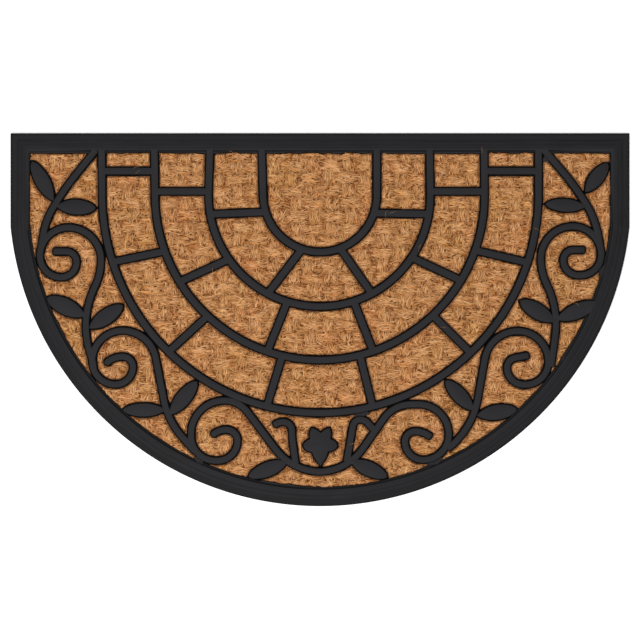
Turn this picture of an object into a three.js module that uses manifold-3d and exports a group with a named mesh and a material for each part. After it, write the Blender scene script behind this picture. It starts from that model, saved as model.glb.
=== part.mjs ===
// Half round coir doormat: a woven coir mat held in one rubber moulding.
// Millimetres. The mat lies flat on z = 0, its straight edge at +Y, and the origin is
// under the middle of the box that bounds it. Left is -X and right is +X, seen from above.

import * as THREE from 'three';
import Module from 'manifold-3d';

// Overall size. The outline is a circle about the fan centre, cut straight at the top and sides.
const WIDTH = 750;
const DEPTH = 452;
const ARC_RADIUS = 377;
const TOP_TO_CENTRE = 75;
const FAN_CENTRE_Y = DEPTH / 2 - TOP_TO_CENTRE;
const ARC_STEPS = 64;

// Levels above the floor
const BACKING_TOP = 1.5;
const MOULDING_TOP = 8;
const COIR_TOP = 6;
const RIB_UNDERSIDE = 4;
const CLEARANCE = 0.3;

// The border's section, from the outer bottom edge over the top and down into the pocket
const BORDER_WIDTH = 23.6;
const BORDER_SECTION = [
  { inset: 0.8, z: 0 },
  { inset: 0, z: 0.8 },
  { inset: 0, z: 4.8 },
  { inset: 1.3, z: 6 },
  { inset: 8.5, z: 7.4 },
  { inset: 14, z: MOULDING_TOP },
  { inset: 20, z: MOULDING_TOP },
  { inset: BORDER_WIDTH, z: 5 },
  { inset: BORDER_WIDTH, z: BACKING_TOP },
];

// The coir's rim, which is pressed a little rounder than a straight cut
const COIR_INSET = BORDER_WIDTH + CLEARANCE;
const COIR_SECTION = [
  { inset: COIR_INSET, z: BACKING_TOP + CLEARANCE },
  { inset: COIR_INSET, z: 5.2 },
  { inset: COIR_INSET + 0.9, z: COIR_TOP },
];

// Widths of the ribs where they meet the coir
const FAN_RIB_WIDTH = 11.4;
const JOINT_WIDTH = 11;
const SCROLL_WIDTH = 10.6;
const RIB_END_INSET = 17;

// A rib's sides lean in by its draft. The grooves in the coir are straight and a little wider.
const RIB = { spread: 0, draft: 1.7, bottom: RIB_UNDERSIDE, top: MOULDING_TOP };
const GROOVE = {
  spread: CLEARANCE, draft: 0, bottom: RIB_UNDERSIDE - CLEARANCE, top: MOULDING_TOP,
};

// How far a chord may stand inside the round stretch it replaces
const CHORD_ERROR = 0.12;

// The fan: four ribs, each two legs and a half circle, with joints like those of paving stones.
// Joints on the legs are told by their height over the fan centre, the others by the angle
// from straight down at their inner and outer ends, on the left and on the right.
const FAN_RADII = [68.5, 134.5, 199.5, 264.3];
const LEG_JOINTS = [
  { ring: 1, height: 4.7 },
  { ring: 2, height: 29 },
];
const FAN_JOINTS = [
  { ring: 0, left: { inner: 72.2, outer: 79.8 }, right: { inner: 72, outer: 80.4 } },
  { ring: 0, left: { inner: 18, outer: 27.6 }, right: { inner: 21.4, outer: 28.1 } },
  { ring: 1, left: { inner: 55.2, outer: 58.6 }, right: { inner: 55.7, outer: 58.8 } },
  { ring: 1, left: { inner: 17.3, outer: 18.8 }, right: { inner: 17.3, outer: 18.5 } },
  { ring: 2, left: { inner: 70.5, outer: 72.4 }, right: { inner: 70, outer: 71.7 } },
  { ring: 2, left: { inner: 42.7, outer: 43.9 }, right: { inner: 43.7, outer: 44.2 } },
  { ring: 2, left: { inner: 13.4, outer: 14.3 }, right: { inner: 14.2, outer: 14.2 } },
];

// The scrolls. Each is drawn from where its spiral stands furthest out, upward: "coil" winds
// in from there and "stem" runs out over the arch to the next scroll. A move is a round
// stretch of a radius through a turn, left turns positive, or a straight length. They are
// written for the left half, and the right half's are mirrored.
const LEFT = -1;
const RIGHT = 1;
const SCROLLS = [
  {
    side: LEFT, x: -339.6, y: 77.2,
    coil: [
      { radius: 25.8, turn: 90 }, { radius: 19, turn: 90 }, { radius: 13, turn: 90 },
      { length: 12 },
    ],
    stem: [
      { radius: 34.5, turn: -90 }, { radius: 39.4, turn: -90 }, { radius: 72.7, turn: -26 },
      { radius: 109, turn: 46 }, { radius: 48.5, turn: -20 },
    ],
  },
  {
    side: LEFT, x: -276.1, y: -50.6,
    coil: [
      { radius: 28.2, turn: 90 }, { radius: 21.6, turn: 90 }, { radius: 12.7, turn: 90 },
      { radius: 30.8, turn: 33 },
    ],
    stem: [
      { radius: 37, turn: -90 }, { radius: 40.6, turn: -79 }, { length: 52 },
      { radius: 94, turn: 31 }, { length: 18 }, { radius: 30, turn: 12 },
    ],
  },
  {
    side: LEFT, x: -156.5, y: -141.3,
    coil: [
      { radius: 29.8, turn: 90 }, { length: 2.4 }, { radius: 24.6, turn: 90 },
      { radius: 14, turn: 90 }, { radius: 25.8, turn: 28 },
    ],
    stem: [
      { length: 2.6 }, { radius: 40.5, turn: -90 }, { radius: 35.1, turn: -53 },
      { length: 56 }, { radius: 69, turn: 53 },
    ],
  },
  {
    side: RIGHT, x: -341.1, y: 78.8,
    coil: [
      { radius: 25, turn: 90 }, { length: 2.4 }, { radius: 19.3, turn: 90 },
      { radius: 13.4, turn: 90 }, { length: 12 },
    ],
    stem: [
      { radius: 34.3, turn: -90 }, { radius: 38.8, turn: -90 }, { radius: 72.7, turn: -26 },
      { radius: 109, turn: 34 }, { length: 30 }, { radius: 48.5, turn: -8 },
    ],
  },
  {
    side: RIGHT, x: -277.2, y: -50.6,
    coil: [
      { radius: 27.9, turn: 90 }, { length: 1.8 }, { radius: 21.2, turn: 90 },
      { radius: 13.3, turn: 80 }, { length: 12.7 },
    ],
    stem: [
      { radius: 37, turn: -90 }, { radius: 40.6, turn: -80 }, { length: 50 },
      { radius: 94.5, turn: 32 }, { length: 6 }, { radius: 40, turn: 18 },
    ],
  },
  {
    side: RIGHT, x: -156.5, y: -139.1,
    coil: [
      { radius: 30.3, turn: 90 }, { radius: 22.4, turn: 90 }, { radius: 13.3, turn: 90 },
      { radius: 28.4, turn: 36 },
    ],
    stem: [
      { radius: 36.3, turn: -90 }, { length: 9.6 }, { radius: 40, turn: -55 },
      { length: 44.4 }, { radius: 66, turn: 55 },
    ],
  },
];

// Stems and hooks that start at a place of their own, heading counted from +X
const TENDRILS = [
  {
    side: LEFT, x: -339.6, y: 77.2, heading: 80,
    moves: [
      { length: 28 }, { radius: 90, turn: -20 }, { radius: 330, turn: -9 }, { length: 37 },
    ],
  },
  {
    side: RIGHT, x: -341.1, y: 78.8, heading: 80,
    moves: [
      { length: 22 }, { radius: 115, turn: -22 }, { radius: 330, turn: -9 }, { length: 32 },
    ],
  },
  {
    side: LEFT, x: -53.6, y: -125.8, heading: 30,
    moves: [
      { radius: 18.2, turn: -30 }, { radius: 10.3, turn: -90 }, { radius: 109, turn: 8 },
      { length: 24 },
    ],
  },
  {
    side: RIGHT, x: -61.8, y: -130, heading: 50,
    moves: [
      { length: 6 }, { radius: 12.1, turn: -50 }, { radius: 9.1, turn: -80 }, { length: 44 },
    ],
  },
];

// Leaves, each a lens from its foot on a stem to its tip
const LEAVES = [
  { footX: -321.5, footY: 143.2, tipX: -352.8, tipY: 193.5, width: 22 },
  { footX: -322, footY: 138.6, tipX: -268.4, tipY: 136, width: 21 },
  { footX: -281, footY: 3.3, tipX: -332.5, tipY: 27.5, width: 24 },
  { footX: -282.3, footY: -11.9, tipX: -236.5, tipY: 19, width: 21 },
  { footX: -183.4, footY: -109.4, tipX: -241.6, tipY: -109.4, width: 18.5 },
  { footX: -183.5, footY: -118, tipX: -146.4, tipY: -72.5, width: 21.5 },
  { footX: -36, footY: -171.2, tipX: -88.4, tipY: -192, width: 21 },
  { footX: 318.6, footY: 152.8, tipX: 349.8, tipY: 192.6, width: 20.5 },
  { footX: 325, footY: 136.8, tipX: 270.8, tipY: 140.2, width: 17.5 },
  { footX: 283.5, footY: -1, tipX: 339.2, tipY: 21.5, width: 20 },
  { footX: 287, footY: -4, tipX: 240.2, tipY: 24.2, width: 20 },
  { footX: 187.5, footY: -116.2, tipX: 241.5, tipY: -108, width: 20 },
  { footX: 188.2, footY: -112, tipX: 150.5, tipY: -71.8, width: 19.5 },
  { footX: 34.5, footY: -169.6, tipX: 83.5, tipY: -192, width: 19 },
];
const LEAF_SIDE_STEPS = 8;
const LEAF_DRAFT = 1.4;

// The flower: five petals about its middle. Each runs from a notch up to its tip and down to
// the next notch, and a greater roundness makes it fuller. The lowest is drawn out to reach the
// stem under it.
const FLOWER_Y = -150.6;
const PETALS = [
  { notch: -134, depth: 14.2, tip: -90, radius: 31, roundness: 0.6 },
  { notch: -42, depth: 14.8, tip: -8, radius: 24, roundness: 1.6 },
  { notch: 21, depth: 13, tip: 59, radius: 25, roundness: 1.9 },
  { notch: 90, depth: 15.6, tip: 117, radius: 24.4, roundness: 1.6 },
  { notch: 157, depth: 12.6, tip: 189, radius: 23.4, roundness: 1.6 },
];
const PETAL_STEPS = 5;

// Finishes
const RUBBER = { color: 0x2d2c2e, roughness: 0.6, metalness: 0 };
const COIR = { color: 0xac7749, roughness: 0.95, metalness: 0 };

const wasm = await Module();
wasm.setup();

const radians = THREE.MathUtils.degToRad;

// A closed body through rings of the same number of points, with both ends capped
function loft(rings) {
  const count = rings[0].length;
  const positions = rings.flat().flatMap((point) => [point.x, point.y, point.z]);
  const triangles = [];
  for (let ring = 0; ring + 1 < rings.length; ring += 1) {
    for (let i = 0; i < count; i += 1) {
      const next = (i + 1) % count;
      const low = ring * count;
      const high = low + count;
      triangles.push([low + i, low + next, high + next]);
      triangles.push([low + i, high + next, high + i]);
    }
  }
  const addCap = (ring, first, turned) => {
    const middle = ring.reduce((sum, point) => sum.add(point), new THREE.Vector3());
    middle.divideScalar(count);
    const centre = positions.length / 3;
    positions.push(middle.x, middle.y, middle.z);
    for (let i = 0; i < count; i += 1) {
      const next = (i + 1) % count;
      const [a, b] = turned ? [next, i] : [i, next];
      triangles.push([centre, first + a, first + b]);
    }
  };
  addCap(rings[0], 0, true);
  addCap(rings.at(-1), (rings.length - 1) * count, false);

  const corner = (index) => new THREE.Vector3().fromArray(positions, 3 * index);
  const volume = triangles.reduce((sum, [a, b, c]) => (
    sum + corner(a).dot(corner(b).cross(corner(c)))
  ), 0);
  const outward = volume < 0 ? triangles.map(([a, b, c]) => [a, c, b]) : triangles;

  const geometry = new THREE.BufferGeometry();
  geometry.setAttribute('position', new THREE.Float32BufferAttribute(positions, 3));
  geometry.setIndex(outward.flat());
  return geometry;
}

function solid(geometry) {
  return new wasm.Manifold(new wasm.Mesh({
    numProp: 3,
    vertProperties: new Float32Array(geometry.attributes.position.array),
    triVerts: new Uint32Array(geometry.index.array),
  }));
}

function join(solids) {
  return solids.reduce((whole, piece) => whole.add(piece));
}

function geometryOf(body) {
  const mesh = body.getMesh();
  const geometry = new THREE.BufferGeometry();
  geometry.setAttribute('position', new THREE.Float32BufferAttribute(mesh.vertProperties, 3));
  geometry.setIndex(Array.from(mesh.triVerts));
  geometry.computeVertexNormals();
  return geometry;
}

// The mat's outline, drawn in by an inset, as one ring at height z
function outline(inset, z) {
  const side = WIDTH / 2 - inset;
  const top = DEPTH / 2 - inset;
  const radius = ARC_RADIUS - inset;
  const sideAngle = Math.acos(side / radius);
  const sweep = Math.PI - 2 * sideAngle;
  const ring = [new THREE.Vector3(side, top, z), new THREE.Vector3(-side, top, z)];
  for (let i = 0; i <= ARC_STEPS; i += 1) {
    const angle = Math.PI + sideAngle + (sweep * i) / ARC_STEPS;
    const x = radius * Math.cos(angle);
    const y = FAN_CENTRE_Y + radius * Math.sin(angle);
    ring.push(new THREE.Vector3(x, y, z));
  }
  return ring;
}

// Stations along a line of moves: a place and the heading there
function trail(x, y, heading, moves) {
  const stations = [{ x, y, heading }];
  for (const move of moves) {
    const from = stations.at(-1);
    if (move.length) {
      stations.push({
        x: from.x + move.length * Math.cos(from.heading),
        y: from.y + move.length * Math.sin(from.heading),
        heading: from.heading,
      });
      continue;
    }
    const turn = radians(move.turn);
    const reach = move.radius * Math.sign(turn);
    const chordTurn = 2 * Math.acos(1 - CHORD_ERROR / move.radius);
    const steps = Math.ceil(Math.abs(turn) / chordTurn);
    for (let i = 1; i <= steps; i += 1) {
      const facing = from.heading + (turn * i) / steps;
      stations.push({
        x: from.x + reach * (Math.sin(facing) - Math.sin(from.heading)),
        y: from.y - reach * (Math.cos(facing) - Math.cos(from.heading)),
        heading: facing,
      });
    }
  }
  return stations;
}

function mirrored(stations) {
  return stations.map(({ x, y, heading }) => ({ x: -x, y, heading: Math.PI - heading }));
}

// A rib along stations, its sides leaning in by the draft
function ridge(stations, width, form) {
  const rings = stations.map(({ x, y, heading }) => {
    const corner = (across, z) => new THREE.Vector3(
      x - across * Math.sin(heading),
      y + across * Math.cos(heading),
      z,
    );
    const foot = width / 2 + form.spread;
    const crown = foot - form.draft;
    return [
      corner(-foot, form.bottom),
      corner(foot, form.bottom),
      corner(crown, form.top),
      corner(-crown, form.top),
    ];
  });
  return solid(loft(rings));
}

// A raised plate between two outlines of the same number of points
function plate(outlineAt, form, draft) {
  const lean = form.draft ? draft : 0;
  const foot = outlineAt(form.spread);
  const crown = outlineAt(form.spread - lean);
  return solid(loft([
    foot.map(({ x, y }) => new THREE.Vector3(x, y, form.bottom)),
    crown.map(({ x, y }) => new THREE.Vector3(x, y, form.top)),
  ]));
}

function fanArch(radius, form) {
  const top = DEPTH / 2 - RIB_END_INSET;
  const leg = top - FAN_CENTRE_Y;
  const moves = [{ length: leg }, { radius, turn: 180 }, { length: leg }];
  return ridge(trail(-radius, top, -Math.PI / 2, moves), FAN_RIB_WIDTH, form);
}

function straightRidge(from, to, form) {
  const heading = Math.atan2(to.y - from.y, to.x - from.x);
  const stations = [{ ...from, heading }, { ...to, heading }];
  return ridge(stations, JOINT_WIDTH, form);
}

function legJoint({ ring, height }, side, form) {
  const y = FAN_CENTRE_Y + height;
  const from = { x: side * FAN_RADII[ring], y };
  const to = { x: side * FAN_RADII[ring + 1], y };
  return straightRidge(from, to, form);
}

function fanPoint(radius, fromDown, side) {
  const angle = radians(fromDown);
  return {
    x: side * radius * Math.sin(angle),
    y: FAN_CENTRE_Y - radius * Math.cos(angle),
  };
}

function fanJoint(joint, side, form) {
  const angles = side === LEFT ? joint.left : joint.right;
  const from = fanPoint(FAN_RADII[joint.ring], angles.inner, side);
  const to = fanPoint(FAN_RADII[joint.ring + 1], angles.outer, side);
  return straightRidge(from, to, form);
}

function fan(form) {
  const arches = FAN_RADII.map((radius) => fanArch(radius, form));
  const joints = [LEFT, RIGHT].flatMap((side) => [
    ...LEG_JOINTS.map((joint) => legJoint(joint, side, form)),
    ...FAN_JOINTS.map((joint) => fanJoint(joint, side, form)),
  ]);
  return join([...arches, ...joints]);
}

function onSide(stations, side) {
  return side === LEFT ? stations : mirrored(stations);
}

// One rib from the inner end of the coil, out and over the arch, to the end of its stem
function scroll({ side, x, y, coil, stem }, form) {
  const inward = trail(x, y, -Math.PI / 2, coil).slice(1).reverse();
  const unwound = inward.map((station) => ({ ...station, heading: station.heading + Math.PI }));
  const outward = trail(x, y, Math.PI / 2, stem);
  return ridge(onSide([...unwound, ...outward], side), SCROLL_WIDTH, form);
}

function tendril({ side, x, y, heading, moves }, form) {
  return ridge(onSide(trail(x, y, radians(heading), moves), side), SCROLL_WIDTH, form);
}

function leaf({ footX, footY, tipX, tipY, width }, form) {
  const foot = new THREE.Vector2(footX, footY);
  const axis = new THREE.Vector2(tipX, tipY).sub(foot);
  const length = axis.length();
  const along = axis.normalize();
  const across = new THREE.Vector2(-along.y, along.x);
  const outlineAt = (spread) => {
    const end = length / 2 + spread * (length / width);
    const bulge = width + 2 * spread;
    const shape = new THREE.Shape();
    shape.moveTo(-end, 0);
    shape.quadraticCurveTo(0, bulge, end, 0);
    shape.quadraticCurveTo(0, -bulge, -end, 0);
    return shape.getPoints(LEAF_SIDE_STEPS).slice(0, 2 * LEAF_SIDE_STEPS).map((point) => (
      foot.clone()
        .addScaledVector(along, length / 2 + point.x)
        .addScaledVector(across, point.y)
    ));
  };
  return plate(outlineAt, form, LEAF_DRAFT);
}

function flower(form) {
  const outlineAt = (spread) => {
    const points = [];
    const add = (angle, radius) => points.push(new THREE.Vector2(
      (radius + spread) * Math.cos(radians(angle)),
      FLOWER_Y + (radius + spread) * Math.sin(radians(angle)),
    ));
    PETALS.forEach((petal, index) => {
      const next = PETALS[(index + 1) % PETALS.length];
      const nextNotch = next.notch < petal.notch ? next.notch + 360 : next.notch;
      const swell = (share, depth) => (
        petal.radius - (petal.radius - depth) * share ** petal.roundness
      );
      for (let i = 0; i < PETAL_STEPS; i += 1) {
        const share = 1 - i / PETAL_STEPS;
        add(petal.tip + (petal.notch - petal.tip) * share, swell(share, petal.depth));
      }
      for (let i = 0; i < PETAL_STEPS; i += 1) {
        const share = i / PETAL_STEPS;
        add(petal.tip + (nextNotch - petal.tip) * share, swell(share, next.depth));
      }
    });
    return points;
  };
  return plate(outlineAt, form, RIB.draft);
}

// Everything that is raised over the coir, or with the grooves' form what is pressed into it
function pattern(form) {
  return join([
    fan(form),
    ...SCROLLS.map((row) => scroll(row, form)),
    ...TENDRILS.map((row) => tendril(row, form)),
    ...LEAVES.map((row) => leaf(row, form)),
    flower(form),
  ]);
}

function layered(section) {
  return solid(loft(section.map(({ inset, z }) => outline(inset, z))));
}

function rubberMoulding() {
  return layered(BORDER_SECTION).add(pattern(RIB));
}

function coirMat() {
  return layered(COIR_SECTION).subtract(pattern(GROOVE));
}

function named(name, body, finish) {
  const mesh = new THREE.Mesh(geometryOf(body), new THREE.MeshStandardMaterial(finish));
  mesh.name = name;
  return mesh;
}

const group = new THREE.Group();
group.add(named('coir_mat', coirMat(), COIR));
group.add(named('rubber_moulding', rubberMoulding(), RUBBER));

export default group;
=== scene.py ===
import math

import bmesh
import bpy
import numpy as np
from mathutils import Matrix, Vector, noise
from mathutils.bvhtree import BVHTree


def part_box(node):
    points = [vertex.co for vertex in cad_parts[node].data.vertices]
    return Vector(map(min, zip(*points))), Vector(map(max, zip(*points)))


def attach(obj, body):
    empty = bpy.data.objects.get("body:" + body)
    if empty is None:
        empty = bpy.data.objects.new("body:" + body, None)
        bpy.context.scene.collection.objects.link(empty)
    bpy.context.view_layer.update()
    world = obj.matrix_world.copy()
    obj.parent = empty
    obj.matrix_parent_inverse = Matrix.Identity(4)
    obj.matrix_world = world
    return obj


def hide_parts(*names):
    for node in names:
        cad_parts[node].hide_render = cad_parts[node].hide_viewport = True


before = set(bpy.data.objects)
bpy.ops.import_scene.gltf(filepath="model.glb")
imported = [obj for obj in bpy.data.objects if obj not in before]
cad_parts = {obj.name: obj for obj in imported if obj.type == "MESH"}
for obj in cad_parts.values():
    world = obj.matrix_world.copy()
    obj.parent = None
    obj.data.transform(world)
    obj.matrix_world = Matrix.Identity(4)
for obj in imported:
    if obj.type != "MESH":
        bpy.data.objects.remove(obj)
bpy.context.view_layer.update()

# The mat lies on z = 0 with its straight edge at +Y. Sizes are in metres, and the tables are
# in millimetres, as a pattern maker would write them. Places closer than TOUCHING are one.
MM = 0.001
LEFT = -1
RIGHT = 1
TOUCHING = 0.01 * MM

# Overall sizes, from the solids
MAT_LOW, MAT_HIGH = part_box("rubber_moulding")
COIR_LOW, COIR_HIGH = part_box("coir_mat")
HALF_WIDTH = MAT_HIGH.x
STRAIGHT_EDGE = MAT_HIGH.y
CROWN = MAT_HIGH.z

# The outline: a circle about the fan's centre, cut straight at the top and the sides
ARC_RADIUS = 377 * MM
FAN_CENTRE_Y = STRAIGHT_EDGE - 75 * MM
ARC_SIDES = 360

# The rubber border's section, in steps from the head of its outer wall, each inward and up.
# Shallow grooves part its reeds.
RUBBER_SHARP = 38
WALL_FOOT = 0.8
WALL_HEAD = 4.8
BORDER_STEPS = [
    (0.6, 1.1), (0.9, 0.5), (0.6, 0.25), (0.9, 0), (0.4, -0.12), (4.4, 0.75), (0.3, -0.14),
    (0.3, 0.16), (4.4, 0.55), (0.3, -0.14), (0.3, 0.16), (0.6, 0.13),
]

# The tray that the coir lies in, in steps from its brim, each inward and down. A thin lip of
# flash, with a ragged edge, creeps from its ledge over the coir.
TOP_FLAT = 8
BRIM_INSET = 20.2
BRIM_ABOVE = 1
TRAY_STEPS = [(2, 1.4), (1.1, 0.3), (0.3, 0.9)]
TRAY_FLOOR = 1.5
BORDER_WIDTH = 23.6
LIP = {"from": 22.9, "to": 23.8, "bottom": 5.2, "top": 6.95, "lean": 0.9, "cuts": 170}
LIP_WIDER = 1.1
LIP_CLEAR = 1
LIP_LONG_EDGE = 20
LIP_WANDERS = [
    {"waves": 11, "reach": 2},
    {"waves": 70, "reach": 1.4},
    {"waves": 260, "reach": 1.5},
]

# The ribs' sections, how far the fan's ribs stop from the straight edge, and how far the steps
# of a curve may lie from it
RIB_FOOT = 4
RIB_CROWN = 7.95
RIB_DRAFT = 2.2
RIB_ROUND = 0.9
RIB_SEGMENTS = 3
RIB_CAMBER = 0.12
FAN_RIB = 12.4
JOINT_RIB = 12.2
SCROLL_RIB = 12
RIB_END_INSET = 17
FLATNESS = 0.04

# A free end swells to the rib's own width in steps along it, each a scale and a length. It
# stands out before the rib's first place.
END_STEPS = [(0.34, 0.7), (0.66, 1.2), (0.88, 1.9), (1, 0)]
END_OUT = 3.2

# The steps from the foot to the top of a leaf or the flower, each inward and up
PLATE_STEPS = [(1.8, 3.25), (0.45, 0.5), (0.6, 0.2)]

# The fan's arches and the joints between them. Joints on the legs are told by their height
# over the fan's centre, the others by the angle from straight down at each end.
ARCHES = [
    {"left": 68.9, "left_lean": 1.7, "right": 68.9, "right_lean": 0},
    {"left": 135, "left_lean": -2, "right": 133.5, "right_lean": -0.8},
    {"left": 199.8, "left_lean": 0.8, "right": 199.3, "right_lean": -0.5},
    {"left": 263.8, "left_lean": 0.5, "right": 264.5, "right_lean": 0},
]
LEG_JOINTS = [
    {"ring": 1, "height": 4.4},
    {"ring": 2, "height": 29},
]
FAN_JOINTS = [
    {"ring": 0, "left": (72.7, 80.1), "right": (71.5, 80.1)},
    {"ring": 0, "left": (18.4, 27.9), "right": (20.8, 27.7)},
    {"ring": 1, "left": (54.9, 58.3), "right": (55.7, 58.8)},
    {"ring": 1, "left": (17, 18.6), "right": (17.6, 18.8)},
    {"ring": 2, "left": (70.1, 72.1), "right": (70.4, 72)},
    {"ring": 2, "left": (42.9, 44), "right": (43.2, 43.7)},
    {"ring": 2, "left": (13.2, 14.1), "right": (14, 14)},
]

# Scrolls and stems. A move is a radius and a turn in degrees, left turns positive, or a
# straight length and no turn. Both halves are written for the left, and the right is mirrored.
SCROLLS = [
    {
        "side": LEFT, "x": -339.6, "y": 77.2,
        "coil": [(25.8, 90), (18.6, 90), (12.8, 90), (13.6, 0)],
        "stem": [(34.5, -90), (39.4, -90), (72.7, -26), (109, 46), (48.5, -20)],
    },
    {
        "side": LEFT, "x": -276.1, "y": -50.6,
        "coil": [(28.2, 90), (21.2, 90), (12.5, 90), (29, 36), (8, 20)],
        "stem": [(37, -90), (40.6, -79), (52, 0), (94, 31), (18, 0), (30, 12)],
    },
    {
        "side": LEFT, "x": -156.5, "y": -141.3,
        "coil": [(29.8, 90), (2.4, 0), (24.2, 90), (13.4, 90), (25.8, 32), (8, 20)],
        "stem": [(2.6, 0), (40.5, -90), (35.1, -53), (56, 0), (69, 53)],
    },
    {
        "side": RIGHT, "x": -341.1, "y": 78.8,
        "coil": [(25, 90), (2.4, 0), (18.4, 90), (12.4, 90), (11.6, 0)],
        "stem": [(34.3, -90), (38.8, -90), (72.7, -26), (109, 34), (30, 0), (48.5, -8)],
    },
    {
        "side": RIGHT, "x": -277.2, "y": -50.6,
        "coil": [(27.9, 90), (1.8, 0), (20.4, 90), (12.5, 80), (14, 0)],
        "stem": [(37, -90), (40.6, -80), (50, 0), (94.5, 32), (6, 0), (40, 18)],
    },
    {
        "side": RIGHT, "x": -156.5, "y": -139.1,
        "coil": [(31, 90), (22.2, 90), (12.5, 90), (28.4, 38)],
        "stem": [(36.3, -90), (9.6, 0), (40, -55), (44.4, 0), (66, 55)],
    },
]
TENDRILS = [
    {
        "side": LEFT, "x": -339.6, "y": 77.2, "heading": 80, "free": False,
        "moves": [(28, 0), (90, -20), (330, -9), (37, 0)],
    },
    {
        "side": RIGHT, "x": -341.1, "y": 78.8, "heading": 80, "free": False,
        "moves": [(22, 0), (115, -22), (330, -9), (32, 0)],
    },
    {
        "side": LEFT, "x": -54.6, "y": -127, "heading": 34, "free": True,
        "moves": [(17.6, -34), (10.3, -90), (109, 8), (25, 0)],
    },
    {
        "side": RIGHT, "x": -64.6, "y": -132.8, "heading": 50, "free": True,
        "moves": [(9.4, 0), (12.1, -50), (9.1, -80), (44, 0)],
    },
]

# Leaves, each a lens with its foot on a stem, its tip and its width
LEAVES = [
    ((-321.2, 141), (-350.4, 194.4), 22),
    ((-322, 137.8), (-268.4, 135), 22.5),
    ((-281.4, 3.2), (-333.4, 27.9), 24),
    ((-281.9, -12), (-236.1, 19.2), 22.8),
    ((-183.4, -109.2), (-242, -109.2), 20.5),
    ((-184, -117.7), (-147, -72), 22.5),
    ((-36, -170.8), (-89.4, -191), 22),
    ((319.6, 152.2), (350.2, 191.6), 21.6),
    ((325, 136.8), (269.8, 140.2), 20),
    ((283.5, -1), (339.2, 21.8), 23),
    ((287, -4), (239.6, 24.6), 23),
    ((187, -116.2), (241.5, -108), 22.5),
    ((188.2, -112), (150, -71.2), 21.8),
    ((34.5, -169.6), (84.3, -191.6), 22),
]
LEAF_SIDES = 24
LEAF_FULLNESS = {"foot": 0.8, "tip": 0.62}

# The flower's petals run from a notch up to a tip and down to the next notch
FLOWER_X = 0.9
FLOWER_Y = -150.6
PETALS = [
    {"notch": -136, "depth": 16.6, "tip": -90, "radius": 30.4, "roundness": 0.6},
    {"notch": -46, "depth": 15, "tip": -5, "radius": 22.6, "roundness": 1.4},
    {"notch": 28, "depth": 15.9, "tip": 62, "radius": 25, "roundness": 1.05},
    {"notch": 90, "depth": 16.3, "tip": 119, "radius": 25, "roundness": 1.05},
    {"notch": 154, "depth": 17, "tip": 185, "radius": 23.6, "roundness": 1.4},
]
PETAL_STEPS = 5

# Thin webs of rubber that crept into tight corners as the mat was moulded: each one's middle,
# length, width and turn in degrees
WEBS = [
    (275.5, 197.5, 15, 9, 55),
    (298, -47, 11, 7, 50),
    (50.5, -114.8, 20, 6, 12),
    (139, -171.8, 19, 7.5, 24),
    (-147, -170, 12, 6, -35),
    (-343, 47, 13, 6, -68),
    (342, 58, 17, 8, 68),
    (-49.5, -168, 9, 6, 50),
]
WEB_TOP = 6.9
WEB_EDGE = {"inward": 0.5, "out": 0.2}
WEB_SIDES = 16
WEB_RAGGED = 0.7

# The coir: flat bundles of fibre in a plain weave, seen as long blocks along the straight
# edge that alternate with short ones across it, none of them quite straight. The waves that
# make it uneven are in radians a metre.
WEAVE_REPEAT = 44.2 * MM
ROW_PITCH = 14.8 * MM
LONG_BLOCK = 26 * MM
WANDER = 2.2 * MM
RUFFLE = 1.8 * MM
ROW_UNEVEN = 4 * MM
SEAM_START = 0.5
PIT_LEVEL = 0.45
PIT_SLOPE = 0.4

# The ground cloth, cushioned between the seams and pressed down beside the rubber
COIR_INSET = (HALF_WIDTH - COIR_HIGH.x) / MM
COIR_PRESSED = 3.7 * MM
COIR_PILE = 6.1 * MM
PILE_RISE = 1.6 * MM
PILE_START = 0.3 * MM
CUSHION = 0.45 * MM
CUSHION_SQUARENESS = 3
CUSHION_CROWN = 1.2
GRID_PITCH = 2.3 * MM
GRID_MARGIN = 2 * MM
# The cloth's tone is lower than the bundles', so it shows darker between them: painted shade
CLOTH_TONE = 0.45
CLOTH_SHARP = 60

# The map of the rubber that the coir keeps clear of, and the shade beside it
MAP_PITCH = 0.8 * MM
MAP_MARGIN = 2
MAP_END = 1.001
FARTHEST = 10
STANDING_RUBBER = (TRAY_FLOOR + 1) * MM
SHADE_REACH = 2.6 * MM

# Bundles of fibre. Pairs of numbers are the limits between which each bundle's measure is
# drawn: lengths, half widths, half thicknesses and heights over the cloth in millimetres.
STRAND_SPACING = 1.92 * MM
STRAND_SCATTER = 0.6
STRAND_CLEARANCE = 0.45 * MM
STRANDS_A_PIECE = 10800
SHORTEST = 2.5 * MM
LENGTHS = {"long": (8, 17), "short": (7, 12), "dark": (3.2, 5.6)}
WIDTHS = {"dark": (0.55, 0.95), "other": (0.6, 1.3)}
THICKNESSES = (0.2, 0.32)
LAYERS = (-0.25, 0.3)
DARK_LIFT = 0.3
ARCH = {"rise": 0.25, "drop": 1.1, "squareness": 4, "shares": (0.4, 1)}
TUCKED_UNDER = 0.1 * MM
SWIRL = 0.3
TURN_SPREAD = 0.2
BEND_SPREAD = 0.15
BOW = 3
CLEAR_STEPS = 12

# Each bundle is a spindle of five places: a tip, three rings and a tip
SIDES = 3
RINGS = 3
RING_SWELL = (0.75, 1, 0.75)
TIP_LENGTH = 1.7 * MM
TIP_SHARE = 0.3

# How light the bundles are. Bundles in the seams and hollows are darkened, and dark ones gather
# there, as painted shade.
TONES = {"mean": 0.68, "spread": 0.13, "patch": 0.12, "pit": 0.4, "seam": 0.26, "most": 1.15}
DARK_TONES = (-0.25, 0.2)
DARK_SHARE = 0.17
DARK_PLACES = {"anywhere": 0.12, "seam": 1.2, "pit": 2}
SEED = 11

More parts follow.
